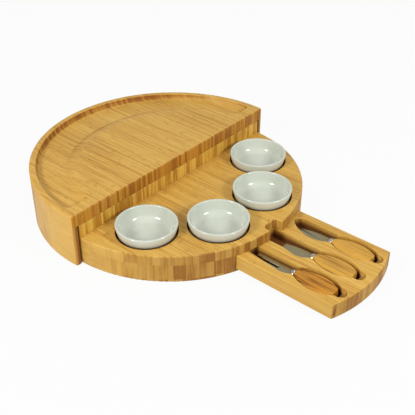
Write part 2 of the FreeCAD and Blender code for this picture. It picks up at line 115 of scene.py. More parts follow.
# Sizes and colours that a user would change
def length(name, description, default):
    return FloatProperty(name=name, description=description, default=default, unit="LENGTH", precision=4)


def colour(name, description, default):
    return FloatVectorProperty(name=name, description=description, default=default, size=3, subtype="COLOR",
                               min=0.0, max=1.0)


class BambooSettings(bpy.types.PropertyGroup):
    strip_width: length("Strip width", "Width of one glued bamboo strip", 6.8 * MM)
    fine_strip_width: length("Fine strip width", "Width of a strip in the raised half's top and in the fence",
                             3.4 * MM)
    knuckle_spacing: length("Knuckle spacing", "Distance between the dark knuckle marks in a strip", 0.17)
    light: colour("Light", "Colour of the palest strips", (0.74, 0.47, 0.115))
    middle: colour("Middle", "Colour of most strips", (0.64, 0.37, 0.067))
    dark: colour("Dark", "Colour of the darkest strips", (0.44, 0.20, 0.026))
    end_tint: colour("End tint", "What the colour is multiplied by on sawn ends", (0.68, 0.60, 0.47))
    plate_end_tint: colour("Plate end tint", "The same, for the raised half's top", (0.73, 0.54, 0.20))
    wall_end_tint: colour("Wall end tint", "The same, for the curved wall", (0.62, 0.50, 0.34))
    fence_end_tint: colour("Fence end tint", "The same, for the fence", (1.0, 0.98, 0.66))
    # the scorch tint is partly scorch from cutting and mostly painted shade in slots, recesses and gaps
    scorch_tint: colour("Scorch tint", "What the colour is multiplied by where a cut has scorched the wood",
                        (0.27, 0.15, 0.10))


class DishSettings(bpy.types.PropertyGroup):
    rim_radius: length("Rim radius", "Outer radius at the rim", 34.9 * MM)
    foot_radius: length("Foot radius", "Outer radius that the sides run down to", 31.3 * MM)
    wall: length("Wall", "Thickness of the side", 2.8 * MM)
    floor: length("Floor", "Thickness of the floor", 3.2 * MM)
    cove: length("Cove", "Radius between the floor and the side inside", 9.5 * MM)
    heel: length("Heel", "Radius between the foot and the side outside", 16 * MM)
    segments: IntProperty(name="Segments", description="Steps round the dish", default=128, min=16)
    glaze: colour("Glaze", "Colour of the glaze", (0.59, 0.62, 0.53))
    # the clay colour is a guessed unglazed foot, dark enough to be painted shade in the gap round the dish
    clay_and_shade: colour("Clay", "Colour of the bare clay under the glaze line", (0.36, 0.22, 0.12))
    glaze_line: length("Glaze line", "Height that the glaze comes down to outside", DECK_TOP)


class KnifeSettings(bpy.types.PropertyGroup):
    handle_fullness: FloatProperty(name="Handle fullness", default=4.2, min=2.0, max=6.0,
                                   description="2 is an oval section, more is squarer")
    handle_belly: length("Handle belly", "From a handle's neck to its widest place", 28 * MM)
    neck_width: length("Neck width", "Width of a handle behind its collar", 11.4 * MM)
    butt_width: length("Butt width", "Width of a handle's rear end", 13 * MM)
    butt_ease: length("Butt ease", "Size of the slope round a handle's rear end", 0.9 * MM)
    edge_thickness: length("Edge thickness", "Thickness of a blade at its edge", 0.3 * MM)
    grind: length("Grind", "Width of the slope along a blade's edge", 2.2 * MM)
    light_wood: colour("Light wood", "Colour of the two pale handles", (0.57, 0.305, 0.043))
    dark_wood: colour("Dark wood", "Colour of the fork's handle", (0.47, 0.20, 0.016))
    steel: colour("Steel", "Colour of the blades", (0.49, 0.445, 0.28))


class StageSettings(bpy.types.PropertyGroup):
    target: FloatVectorProperty(name="Target", description="Point that the camera looks at", subtype="XYZ",
                                unit="LENGTH", default=(-0.01195, -0.06534, 0.02475))
    distance: length("Distance", "From the camera to its target", 0.8767)
    azimuth: FloatProperty(name="Azimuth", description="Way the camera looks", subtype="ANGLE",
                           default=math.radians(-49.2401))
    elevation: FloatProperty(name="Elevation", description="Height of the camera above the horizon",
                             subtype="ANGLE", default=math.radians(34.7223))
    lens: FloatProperty(name="Lens", description="Focal length on a 36 mm sensor", subtype="DISTANCE_CAMERA",
                        default=65.175)


class CheeseBoardSettings(bpy.types.PropertyGroup):
    bamboo: PointerProperty(type=BambooSettings)
    dish: PointerProperty(type=DishSettings)
    knife: PointerProperty(type=KnifeSettings)
    stage: PointerProperty(type=StageSettings)


def settings():
    """All the settings, in their groups."""
    return bpy.context.scene.cheese_board


# Node trees
def add_node(tree, kind, **values):
    """A node with its properties set by name, and its inputs by name or by number (in_0, in_1)."""
    node = tree.nodes.new(kind)
    for name, value in values.items():
        if name.startswith("in_"):
            socket = node.inputs[int(name[3:])]
        elif name.replace("_", " ").title() in node.inputs:
            socket = node.inputs[name.replace("_", " ").title()]
        else:
            setattr(node, name, value)
            continue
        if isinstance(value, bpy.types.NodeSocket):
            tree.links.new(value, socket)
        else:
            socket.default_value = value
    return node


def maths(tree, operation, *values, clamp=False):
    """The output of a Math node."""
    inputs = {f"in_{place}": value for place, value in enumerate(values)}
    return add_node(tree, "ShaderNodeMath", operation=operation, use_clamp=clamp, **inputs).outputs[0]


def product(tree, first, *others):
    """All the values multiplied."""
    for value in others:
        first = maths(tree, "MULTIPLY", first, value)
    return first


def scaled(tree, value, scale, start, clamp=False):
    """A value times a scale, plus a start."""
    return maths(tree, "MULTIPLY_ADD", value, scale, start, clamp=clamp)


def off_middle(tree, value):
    """How far a value that runs from 0 to 1 is above its middle."""
    return maths(tree, "SUBTRACT", value, 0.5)


def by_axis(tree, vector):
    """The X, Y and Z outputs of a vector."""
    return add_node(tree, "ShaderNodeSeparateXYZ", in_0=vector).outputs


def blended(tree, factor, first, second, kind="MIX"):
    """The output of a colour Mix node. Each colour is a socket, or its red, green and blue."""
    first, second = (side if isinstance(side, bpy.types.NodeSocket) else (*side[:3], 1.0)
                     for side in (first, second))
    node = add_node(tree, "ShaderNodeMix", data_type="RGBA", blend_type=kind, clamp_factor=True,
                    in_0=factor, in_6=first, in_7=second)
    return node.outputs[2]


def band(tree, value, low, high, out_low=0.0, out_high=1.0):
    """A smooth step of a value between two levels."""
    node = add_node(tree, "ShaderNodeMapRange", interpolation_type="SMOOTHSTEP",
                    in_0=value, in_1=low, in_2=high, in_3=out_low, in_4=out_high)
    return node.outputs[0]


def stretched_noise(tree, vector, stretch, detail=2.0, roughness=0.5, distortion=0.0):
    """Noise stretched to so many waves per metre along X, Y and Z."""
    spread = add_node(tree, "ShaderNodeVectorMath", operation="MULTIPLY", in_0=vector, in_1=stretch)
    noise = add_node(tree, "ShaderNodeTexNoise", vector=spread.outputs[0], scale=1.0, detail=detail,
                     roughness=roughness, distortion=distortion)
    return noise.outputs[0]


def new_group(name, inputs, outputs):
    """A shader node group from its sockets: each a name, a kind and perhaps a default."""
    group = bpy.data.node_groups.new(name, "ShaderNodeTree")
    for direction, sockets in (("INPUT", inputs), ("OUTPUT", outputs)):
        for socket_name, kind, *default in sockets:
            socket = group.interface.new_socket(socket_name, in_out=direction,
                                                socket_type=f"NodeSocket{kind}")
            if default:
                socket.default_value = default[0]
    entry = group.nodes.new("NodeGroupInput")
    leave = group.nodes.new("NodeGroupOutput")
    return group, entry.outputs, leave.inputs


def chance_of(tree, value):
    """A random number from 0 to 1 for each whole value."""
    return add_node(tree, "ShaderNodeTexWhiteNoise", noise_dimensions="1D", w=value).outputs[0]


def bamboo_strips_group():
    """Strips glued side by side across X, with the grain along Y."""
    group, given, result = new_group(
        "bamboo_strips",
        [("Vector", "Vector"), ("Strip Width", "Float", 0.006), ("Strip Contrast", "Float", 0.55),
         ("Streak Contrast", "Float", 1.3), ("Sawn", "Float", 0.0), ("Knuckle Spacing", "Float", 0.17),
         ("Seed", "Float", 0.0)],
        [("Tone", "Float"), ("Knuckle", "Float"), ("Seam", "Float"), ("Fibre", "Float"), ("Flecks", "Float")])
    vector = given["Vector"]
    across, along, _ = by_axis(group, vector)
    # two slow waves make the strips unevenly wide
    even = maths(group, "ADD", maths(group, "DIVIDE", across, given["Strip Width"]),
                 product(group, given["Seed"], 7.31))
    wave = product(group, maths(group, "SINE", product(group, even, 1.7)), 0.13)
    slow_wave = product(group, maths(group, "SINE", product(group, even, 0.61)), 0.2)
    uneven = maths(group, "ADD", even, maths(group, "ADD", wave, slow_wave))
    strip = maths(group, "FLOOR", uneven)
    part = maths(group, "FRACT", uneven)
    own_tone = chance_of(group, maths(group, "ADD", strip, given["Seed"]))
    drift = stretched_noise(group, vector, DRIFT_WAVES, detail=3.0, distortion=0.4)
    # on sawn ends the tones hardly change upwards, so that each strip shows as an upright bar
    level_streak = stretched_noise(group, vector, STREAK_WAVES, detail=3.0, roughness=0.6)
    upright_streak = stretched_noise(group, vector, UPRIGHT_WAVES, detail=3.0, roughness=0.6)
    change = maths(group, "SUBTRACT", upright_streak, level_streak)
    streak = scaled(group, change, given["Sawn"], level_streak)
    broad = stretched_noise(group, vector, BROAD_WAVES, detail=1.0)
    tone = maths(group, "ADD", product(group, off_middle(group, own_tone), given["Strip Contrast"]),
                 scaled(group, drift, 0.45, 0.275))
    tone = scaled(group, off_middle(group, streak), given["Streak Contrast"], tone)
    tone = scaled(group, off_middle(group, broad), 0.5, tone, clamp=True)
    group.links.new(tone, result["Tone"])
    # a knuckle crosses each strip at its own place and repeats along the strip
    shift = chance_of(group, scaled(group, strip, 1.37, 41.7))
    ragged = stretched_noise(group, vector, RAGGED_WAVES, detail=3.0)
    turns = maths(group, "ADD", maths(group, "DIVIDE", along, given["Knuckle Spacing"]),
                  scaled(group, ragged, 0.05, shift))
    off = maths(group, "ABSOLUTE", off_middle(group, maths(group, "FRACT", turns)))
    which = scaled(group, maths(group, "FLOOR", turns), 3.1, strip)
    present = band(group, chance_of(group, which), 0.45, 0.8)
    group.links.new(product(group, band(group, off, 0.016, 0.0), present), result["Knuckle"])
    edge = maths(group, "MINIMUM", part, maths(group, "SUBTRACT", 1.0, part))
    group.links.new(band(group, edge, 0.05, 0.0), result["Seam"])
    group.links.new(streak, result["Fibre"])
    dashes = stretched_noise(group, vector, DASH_WAVES, detail=1.0)
    group.links.new(band(group, dashes, 0.63, 0.74), result["Flecks"])


def end_grain_group():
    """Masks of the sawn ends, where the surface faces along the grain, and the fibres' dark specks there."""
    group, given, result = new_group(
        "end_grain", [("Vector", "Vector"), ("Normal", "Vector")],
        [("Mask", "Float"), ("Slanting", "Float"), ("Specks", "Float")])
    facing = maths(group, "ABSOLUTE", by_axis(group, given["Normal"])[1])
    group.links.new(band(group, facing, 0.25, 0.70), result["Mask"])
    group.links.new(band(group, facing, 0.08, 0.32), result["Slanting"])
    spread = add_node(group, "ShaderNodeVectorMath", operation="MULTIPLY", in_0=given["Vector"],
                      in_1=FIBRE_END_WAVES)
    cells = add_node(group, "ShaderNodeTexVoronoi", vector=spread.outputs[0], scale=1.0, randomness=1.0)
    group.links.new(band(group, cells.outputs[0], 0.42, 0.15), result["Specks"])


def handling_wear_group():
    """Soft uneven darkening and polish from hands, and a few fine scratches."""
    group, given, result = new_group("handling_wear", [("Vector", "Vector")],
                                     [("Soiling", "Float"), ("Scratches", "Float")])
    cloud = stretched_noise(group, given["Vector"], CLOUD_WAVES, detail=4.0, roughness=0.6)
    group.links.new(band(group, cloud, 0.42, 0.72), result["Soiling"])
    lines = stretched_noise(group, given["Vector"], SCRATCH_WAVES, detail=1.0, distortion=1.2)
    off = maths(group, "ABSOLUTE", off_middle(group, lines))
    group.links.new(band(group, off, 0.008, 0.0), result["Scratches"])


def use_group(tree, name, **inputs):
    """The outputs of a group node with its inputs set by name."""
    return add_node(tree, "ShaderNodeGroup", node_tree=bpy.data.node_groups[name], **inputs).outputs


def new_material(name):
    """A material with a Principled BSDF, and the piece's own coordinates."""
    material = bpy.data.materials.new(name)
    material.use_nodes = True
    tree = material.node_tree
    shader = next(node for node in tree.nodes if node.type == "BSDF_PRINCIPLED")
    return material, tree, shader, tree.nodes.new("ShaderNodeTexCoord").outputs


def ramp(tree, factor, stops):
    """The output of a colour ramp. Each stop is a position and a colour."""
    node = add_node(tree, "ShaderNodeValToRGB", in_0=factor)
    elements = node.color_ramp.elements
    while len(elements) < len(stops):
        elements.new(0.5)
    for element, (position, tint) in zip(elements, stops):
        element.position = position
        element.color = (*tint, 1.0)
    return node.outputs[0]


def relief(tree, shader, height, distance, strength):
    """Bumps on a shader from a height that runs from 0 to 1."""
    bump = add_node(tree, "ShaderNodeBump", strength=strength, distance=distance, height=height)
    tree.links.new(bump.outputs[0], shader.inputs["Normal"])


def reach_from(tree, vector, place=(0.0, 0.0)):
    """How far a point is, seen from above, from a place given by X and Y."""
    moved = add_node(tree, "ShaderNodeVectorMath", operation="SUBTRACT", in_0=vector, in_1=(*place, 0.0))
    flat = add_node(tree, "ShaderNodeVectorMath", operation="MULTIPLY", in_0=moved.outputs[0],
                    in_1=(1.0, 1.0, 0.0))
    return add_node(tree, "ShaderNodeVectorMath", operation="LENGTH", in_0=flat.outputs[0]).outputs[1]


def drawer_pocket_shade(tree, vector):
    """A mask of painted shade, with some scorch, in the drawer's slots: their walls and floors, darker with
    depth.
    """
    x, y, z = by_axis(tree, vector)
    across = band(tree, maths(tree, "ABSOLUTE", x), DRAWER_HALF_WIDTH - 1.5 * MM,
                  DRAWER_HALF_WIDTH - 2.5 * MM)
    along = band(tree, y, DRAWER_FRONT_Y + 8 * MM, DRAWER_FRONT_Y + 11 * MM)
    depth = band(tree, z, DRAWER_TOP - 0.8 * MM, DRAWER_TOP - 7.8 * MM)
    above_groove = band(tree, z, STOP_GROOVE_TOP - 1.4 * MM, STOP_GROOVE_TOP + 0.6 * MM)
    return product(tree, across, along, depth, above_groove)


def recess_edge_shade(tree, vector):
    """A mask of painted shade, with some scorch: the walls of the four recesses in the tray, and a thin dark
    line round them on the deck.
    """
    mirrored = add_node(tree, "ShaderNodeVectorMath", operation="ABSOLUTE", in_0=vector).outputs[0]
    reach = maths(tree, "MINIMUM", *(reach_from(tree, mirrored, place) for place in RECESS_CENTRES))
    return product(tree, band(tree, reach, RECESS_RADIUS + 0.95 * MM, RECESS_RADIUS + 0.55 * MM),
                   band(tree, reach, RECESS_RADIUS - 2.95 * MM, RECESS_RADIUS - 0.95 * MM))


def wall_gap_shade(tree, vector):
    """A mask of painted shade, with some scorch, on the cavity's side of the curved wall, near its two ends,
    in the gap beside the tray.
    """
    reach = reach_from(tree, vector, COVER_CENTRE)
    return product(tree, band(tree, reach, CAVITY_RADIUS + 0.9 * MM, CAVITY_RADIUS + 0.3 * MM),
                   band(tree, by_axis(tree, vector)[1], 26 * MM, 12 * MM))


def tray_end_shade(tree, vector):
    """A half-strong mask of painted shade, with some scorch, on the ends of the tray and the fence that stand
    next to the curved wall.
    """
    reach = reach_from(tree, vector)
    return product(tree, band(tree, reach, TRAY_RADIUS - 0.6 * MM, TRAY_RADIUS - 0.2 * MM),
                   band(tree, by_axis(tree, vector)[1], -9 * MM, -4 * MM, 0.0, 0.5))


def deck_cut_shade(tree, vector):
    """The deck's own mask of painted shade and some scorch: its recesses and its ends."""
    return maths(tree, "MAXIMUM", recess_edge_shade(tree, vector), tray_end_shade(tree, vector))


def groove_wall_shade(tree, vector):
    """A faint mask of painted shade, with some scorch, on the outer wall of the crescent groove in the plate.
    """
    reach = reach_from(tree, vector, COVER_CENTRE)
    height = by_axis(tree, vector)[2]
    return product(tree, band(tree, reach, GROOVE_RADIUS - 5.5 * MM, GROOVE_RADIUS - 2 * MM),
                   band(tree, reach, GROOVE_RADIUS + 0.6 * MM, GROOVE_RADIUS + 0.1 * MM),
                   band(tree, height, BOARD_TOP - 0.4 * MM, BOARD_TOP - 1.5 * MM, 0.0, 0.2))


# Bamboo pieces with painted shade, and some scorch, in their cuts and gaps, with the mask of each
SCORCH_AND_SHADE_PARTS = {
    "top_plate": groove_wall_shade,
    "drawer": drawer_pocket_shade,
    "tray_deck": deck_cut_shade,
    "tray_base": tray_end_shade,
    "tray_core_left": tray_end_shade,
    "tray_core_right": tray_end_shade,
    "tray_fence": tray_end_shade,
}


def bamboo_material(name, seed, scorch_and_shade_part=None, fine=False, end_tint=None):
    """Glued bamboo strips with the grain along Y. The scorch and shade part is a function that gives the mask
    where some scorch and mostly painted shade darken the cuts and gaps.
    """
    look = settings().bamboo
    material, tree, shader, given = new_material(name)
    place, normal = given["Object"], given["Normal"]
    ends = use_group(tree, "end_grain", vector=place, normal=normal)
    level = band(tree, maths(tree, "ABSOLUTE", by_axis(tree, normal)[2]), 0.85, 0.98)
    strips = use_group(tree, "bamboo_strips", vector=place, sawn=ends["Slanting"],
                       strip_width=look.fine_strip_width if fine else look.strip_width,
                       strip_contrast=scaled(tree, ends["Mask"], 0.42, 0.26),
                       streak_contrast=scaled(tree, level, 1.0, 1.3),
                       knuckle_spacing=look.knuckle_spacing, seed=seed)
    wear = use_group(tree, "handling_wear", vector=place)
    # the strips' tones stand further apart on the sawn ends
    contrast = scaled(tree, ends["Mask"], 1.1, 0.85)
    spread = scaled(tree, off_middle(tree, strips["Tone"]), contrast, 0.5, clamp=True)
    base = ramp(tree, spread, [(0.0, look.dark), (0.5, look.middle), (1.0, look.light)])
    base = blended(tree, product(tree, strips["Knuckle"], level, 0.38), base, KNUCKLE_BROWN)
    base = blended(tree, product(tree, strips["Flecks"], level, 0.7), base, FLECK_BROWN)
    seams = scaled(tree, ends["Mask"], 0.7, product(tree, level, 0.2))
    base = blended(tree, product(tree, strips["Seam"], seams), base, SEAM_BROWN)
    tinted = blended(tree, 1.0, base, end_tint or look.end_tint, "MULTIPLY")
    base = blended(tree, ends["Mask"], base, tinted)
    base = blended(tree, product(tree, ends["Specks"], ends["Mask"], 0.2), base, SPECK_BROWN)
    base = blended(tree, product(tree, wear["Soiling"], 0.10), base, SOIL_BROWN)
    rough = scaled(tree, ends["Mask"], 0.15, scaled(tree, strips["Fibre"], 0.22, 0.34))
    # painted shade, with some scorch, darkens the cuts and gaps where the mask says
    if scorch_and_shade_part:
        scorch_and_shade = scorch_and_shade_part(tree, place)
        base = blended(tree, scorch_and_shade, base, blended(tree, 1.0, base, look.scorch_tint, "MULTIPLY"))
        rough = scaled(tree, scorch_and_shade, 0.5, rough)
    rough = maths(tree, "SUBTRACT", rough, product(tree, wear["Soiling"], 0.06))
    tree.links.new(base, shader.inputs["Base Color"])
    tree.links.new(rough, shader.inputs["Roughness"])
    shader.inputs["Specular IOR Level"].default_value = 0.35
    height = maths(tree, "SUBTRACT", strips["Fibre"], product(tree, strips["Seam"], 0.8))
    height = maths(tree, "SUBTRACT", height, product(tree, wear["Scratches"], 0.5))
    relief(tree, shader, height, 0.06 * MM, 0.6)
    return material


def glaze_material():
    """White glaze with a faint unevenness, over clay that is bare under the glaze line, dark enough to be
    painted shade in the gap round the dish.
    """
    look = settings().dish
    material, tree, shader, given = new_material("white glaze")
    wear = use_group(tree, "handling_wear", vector=given["Object"])
    pool = stretched_noise(tree, given["Object"], GLAZE_WAVES)
    darker = tuple(0.94 * part for part in look.glaze)
    base = blended(tree, band(tree, pool, 0.35, 0.7), look.glaze, darker)
    # the lower outside, which stands in the recess, is bare clay, a guessed unglazed foot whose dark colour
    # is also painted shade in the gap
    height, upward = by_axis(tree, given["Object"])[2], by_axis(tree, given["Normal"])[2]
    below = band(tree, height, look.glaze_line + 0.2 * MM, look.glaze_line - 0.2 * MM)
    bare_and_shaded = product(tree, below, band(tree, upward, -0.05, -0.15))
    tree.links.new(blended(tree, bare_and_shaded, base, look.clay_and_shade), shader.inputs["Base Color"])
    rough = scaled(tree, bare_and_shaded, 0.6, scaled(tree, wear["Soiling"], 0.06, 0.15))
    tree.links.new(rough, shader.inputs["Roughness"])
    tree.links.new(scaled(tree, bare_and_shaded, -0.2, 0.2), shader.inputs["Coat Weight"])
    shader.inputs["Coat Roughness"].default_value = 0.12
    relief(tree, shader, pool, 0.15 * MM, 0.5)
    return material


def handle_material(name, tint, contrast):
    """Oiled wood with streaks along the handle, darker or fainter by the contrast."""
    material, tree, shader, given = new_material(name)
    strips = use_group(tree, "bamboo_strips", vector=given["Object"], strip_width=9 * MM,
                       knuckle_spacing=0.14, seed=11.0)
    wear = use_group(tree, "handling_wear", vector=given["Object"])
    dark = (0.48 * tint[0], 0.36 * tint[1], 0.30 * tint[2])
    light = tuple(min(1.0, 1.3 * part) for part in tint)
    streaks = stretched_noise(tree, given["Object"], WOOD_WAVES, detail=3.0, distortion=0.6)
    tone = scaled(tree, off_middle(tree, streaks), contrast, strips["Tone"], clamp=True)
    base = ramp(tree, tone, [(0.0, dark), (0.5, tint), (1.0, light)])
    base = blended(tree, product(tree, wear["Soiling"], 0.15), base, dark)
    tree.links.new(base, shader.inputs["Base Color"])
    tree.links.new(scaled(tree, strips["Fibre"], 0.2, 0.28), shader.inputs["Roughness"])
    shader.inputs["Specular IOR Level"].default_value = 0.35
    relief(tree, shader, strips["Fibre"], 0.05 * MM, 0.6)
    return material


def metal_material(name, tint, roughness, grain):
    """Metal with fine brush lines: grain is waves per metre along X, Y and Z."""
    material, tree, shader, given = new_material(name)
    lines = stretched_noise(tree, given["Object"], grain, detail=3.0, roughness=0.6)
    wear = use_group(tree, "handling_wear", vector=given["Object"])
    darker = tuple(0.8 * part for part in tint)
    tree.links.new(blended(tree, band(tree, lines, 0.3, 0.7), darker, tint), shader.inputs["Base Color"])
    rough = scaled(tree, wear["Soiling"], 0.05, scaled(tree, lines, 0.16, roughness))
    tree.links.new(rough, shader.inputs["Roughness"])
    shader.inputs["Metallic"].default_value = 1.0
    relief(tree, shader, lines, 0.02 * MM, 0.5)
    return material


def nylon_material():
    """White nylon with a fine grain."""
    material, tree, shader, given = new_material("white nylon")
    grain = stretched_noise(tree, given["Object"], NYLON_WAVES)
    base = blended(tree, grain, (0.74, 0.73, 0.70), (0.82, 0.81, 0.79))
    tree.links.new(base, shader.inputs["Base Color"])
    tree.links.new(scaled(tree, grain, 0.1, 0.45), shader.inputs["Roughness"])
    relief(tree, shader, grain, 0.02 * MM, 0.4)
    return material


def finish_node(name, material):
    """Gives a CAD node its material."""
    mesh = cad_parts[name].data
    mesh.materials.clear()
    mesh.materials.append(material)


# Meshes
def corners(node):
    """The low and the high corner of a CAD node's box."""
    return [Vector(corner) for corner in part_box(node)]


def new_piece(name, mesh, material, body, node):
    """A finished piece that stands for a CAD node and rides on its body."""
    piece = bpy.data.objects.new(name, mesh)
    bpy.context.scene.collection.objects.link(piece)
    mesh.materials.clear()
    mesh.materials.append(material)
    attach(piece, body)
    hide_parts(node)
    return piece


def settle(helper, name):
    """The plain mesh of an object with its modifiers applied. The helper goes."""
    bpy.context.view_layer.update()
    evaluated = helper.evaluated_get(bpy.context.evaluated_depsgraph_get())
    mesh = bpy.data.meshes.new_from_object(evaluated)
    mesh.name = name
    old = helper.data
    bpy.data.objects.remove(helper)
    bpy.data.meshes.remove(old)
    return mesh


def turned_tree():
    """Turns a closed outline of radius along X and height along Z round an upright axis."""
    tree = bpy.data.node_groups.new("turned_piece", "GeometryNodeTree")
    tree.interface.new_socket("Geometry", in_out="INPUT", socket_type="NodeSocketGeometry")
    for name, kind, default in (("Path Radius", "Float", 0.01), ("Segments", "Int", 64),
                                ("Place", "Vector", (0.0, 0.0, 0.0)), ("Turn", "Vector", (0.0, 0.0, 0.0)),
                                ("Material", "Material", None)):
        socket = tree.interface.new_socket(name, in_out="INPUT", socket_type=f"NodeSocket{kind}")
        if default is not None:
            socket.default_value = default
    tree.interface.new_socket("Geometry", in_out="OUTPUT", socket_type="NodeSocketGeometry")
    given = tree.nodes.new("NodeGroupInput").outputs
    outline = add_node(tree, "GeometryNodeMeshToCurve", mesh=given["Geometry"])
    path = add_node(tree, "GeometryNodeCurvePrimitiveCircle", resolution=given["Segments"],
                    radius=given["Path Radius"])
    swept = add_node(tree, "GeometryNodeCurveToMesh", curve=path.outputs[0], in_1=outline.outputs[0])
    merged = add_node(tree, "GeometryNodeMergeByDistance", geometry=swept.outputs[0], distance=1e-6)
    moved = add_node(tree, "GeometryNodeTransform", geometry=merged.outputs[0], translation=given["Place"],
                     rotation=given["Turn"])
    real = add_node(tree, "GeometryNodeRealizeInstances", geometry=moved.outputs[0])
    painted = add_node(tree, "GeometryNodeSetMaterial", geometry=real.outputs[0], material=given["Material"])
    leave = tree.nodes.new("NodeGroupOutput")
    tree.links.new(painted.outputs[0], leave.inputs[0])


def turned_mesh(name, outline, place, material, segments, turn=(0.0, 0.0, 0.0)):
    """A turned piece from its outline, a list of (radius, height) in metres."""
    path_radius = max(radius for radius, _ in outline) / 2
    mesh = bpy.data.meshes.new(name)
    # the sweep lays the outline's X along the radius and its Y down the axis
    points = [(radius - path_radius, -height, 0.0) for radius, height in outline]
    edges = [(start, start + 1) for start in range(len(points) - 1)]
    mesh.from_pydata(points, edges, [])
    helper = bpy.data.objects.new(f"{name}_outline", mesh)
    bpy.context.scene.collection.objects.link(helper)
    modifier = helper.modifiers.new("turned", "NODES")
    modifier.node_group = bpy.data.node_groups["turned_piece"]
    values = {"Path Radius": path_radius, "Segments": segments, "Place": place, "Turn": turn,
              "Material": material}
    for item in modifier.node_group.interface.items_tree:
        if item.name in values and item.in_out == "INPUT":
            modifier[item.identifier] = values[item.name]
    made = settle(helper, name)
    shape = bmesh.new()
    shape.from_mesh(made)
    bmesh.ops.remove_doubles(shape, verts=shape.verts, dist=1e-6)
    bmesh.ops.dissolve_degenerate(shape, dist=1e-7, edges=shape.edges)
    bmesh.ops.recalc_face_normals(shape, faces=shape.faces)
    for face in shape.faces:
        face.smooth = True
    shape.to_mesh(made)
    shape.free()
    return made


def arc(centre, radius, start, end, steps):
    """Points of an arc, from one angle in degrees to another."""
    points = []
    for step in range(steps + 1):
        angle = math.radians(start + (end - start) * step / steps)
        points.append((centre[0] + radius * math.cos(angle), centre[1] + radius * math.sin(angle)))
    return points


def dish_outline(look, low, high):
    """Half the section of a dish, from the middle of its foot up round the rim to the middle of its floor."""
    slope = (look.rim_radius - look.foot_radius) / (high - low)
    lean = math.degrees(math.atan(slope))
    heel, cove, rim = look.heel, look.cove, look.wall * 0.46
    inner_foot = look.foot_radius + slope * look.floor - look.wall
    # how far an arc of radius 1, between a level face and the leaning side, reaches along the face
    share = (1 - math.sin(math.radians(lean))) / math.cos(math.radians(lean))
    outline = [(0.0, low + FOOT_RISE), (FOOT_RING_RADIUS - 2.2 * MM, low + FOOT_RISE),
               (FOOT_RING_RADIUS - 1.4 * MM, low + 0.1 * MM), (FOOT_RING_RADIUS - 0.9 * MM, low)]
    outline += arc((look.foot_radius - heel * share, low + heel), heel, -90, -lean, 14)
    outline += arc((look.rim_radius - rim * 1.05, high - rim), rim, 10, 90, 8)
    outline += arc((look.rim_radius - look.wall + rim * 0.95, high - rim), rim, 90, 175, 8)
    outline += reversed(arc((inner_foot - cove * share, low + look.floor + cove), cove, -90, -lean, 16))
    outline += [(0.0, low + look.floor)]
    return outline


def collar_outline(low, high):
    """Half the section of a knife's collar, from its rear end at low Y to the blade."""
    return [(0.0, low), (5.2 * MM, low), (5.5 * MM, low + 0.4 * MM), (5.3 * MM, low + 2.0 * MM),
            (4.7 * MM, high - 0.5 * MM), (4.2 * MM, high), (0.0, high)]


def loft(name, rings):
    """A closed skin over rings of points, with a point at the middle of each end."""
    shape = bmesh.new()
    rows = [[shape.verts.new(point) for point in ring] for ring in rings]
    count = len(rows[0])
    for lower, upper in zip(rows, rows[1:]):
        for place in range(count):
            after = (place + 1) % count
            shape.faces.new((lower[place], lower[after], upper[after], upper[place]))
    for row in (rows[0], rows[-1]):
        hub = shape.verts.new(sum((vert.co for vert in row), Vector()) / count)
        for place in range(count):
            shape.faces.new((row[place], row[(place + 1) % count], hub))
    bmesh.ops.recalc_face_normals(shape, faces=shape.faces)
    for face in shape.faces:
        face.smooth = len(face.verts) == 4
    mesh = bpy.data.meshes.new(name)
    shape.to_mesh(mesh)
    shape.free()
    return mesh


def section(half_width, half_height, centre, fullness, steps=48):
    """A ring that is an oval with fuller corners, upright in XZ."""
    ring = []
    for step in range(steps):
        angle = 2 * math.pi * step / steps
        cosine, sine = math.cos(angle), math.sin(angle)
        ring.append(Vector((
            centre[0] + half_width * math.copysign(abs(cosine) ** (2 / fullness), cosine),
            centre[1],
            centre[2] + half_height * math.copysign(abs(sine) ** (2 / fullness), sine))))
    return ring


def handle_rings(low, high, look, steps=40):
    """Rings from the neck, at high Y, to the butt. The sides are two arcs each, upright at the belly."""
    middle = (low + high) / 2
    total = high.y - low.y
    belly, thick = (high.x - low.x) / 2, (high.z - low.z) / 2
    rings = []
    for step in range(steps + 1):
        run = total * step / steps
        if run <= look.handle_belly:
            rise, reach = belly - look.neck_width / 2, look.handle_belly
        else:
            rise, reach = belly - look.butt_width / 2, total - look.handle_belly
        radius = side_radius(rise, reach)
        half = belly - (radius - math.sqrt(radius ** 2 - (run - look.handle_belly) ** 2))
        # the neck starts round and a little thin, like the collar, and grows square
        squareness = min(1.0, 0.2 + run / SQUARING_RUN)
        height = thick * (0.95 + 0.05 * min(1.0, run / THICKENING_RUN))
        fullness = 2 + (look.handle_fullness - 2) * squareness
        rings.append(section(half, height, (middle.x, high.y - run, middle.z), fullness))
    # a slope eases the butt: the last ring moves forwards, and a smaller one takes its place
    last = rings.pop()
    centre = sum(last, Vector()) / len(last)
    before = Vector((0, look.butt_ease, 0))
    shrink = 1 - look.butt_ease / thick
    rings.append([point + before for point in last])
    rings.append([centre + (point - centre) * shrink for point in last])
    return rings


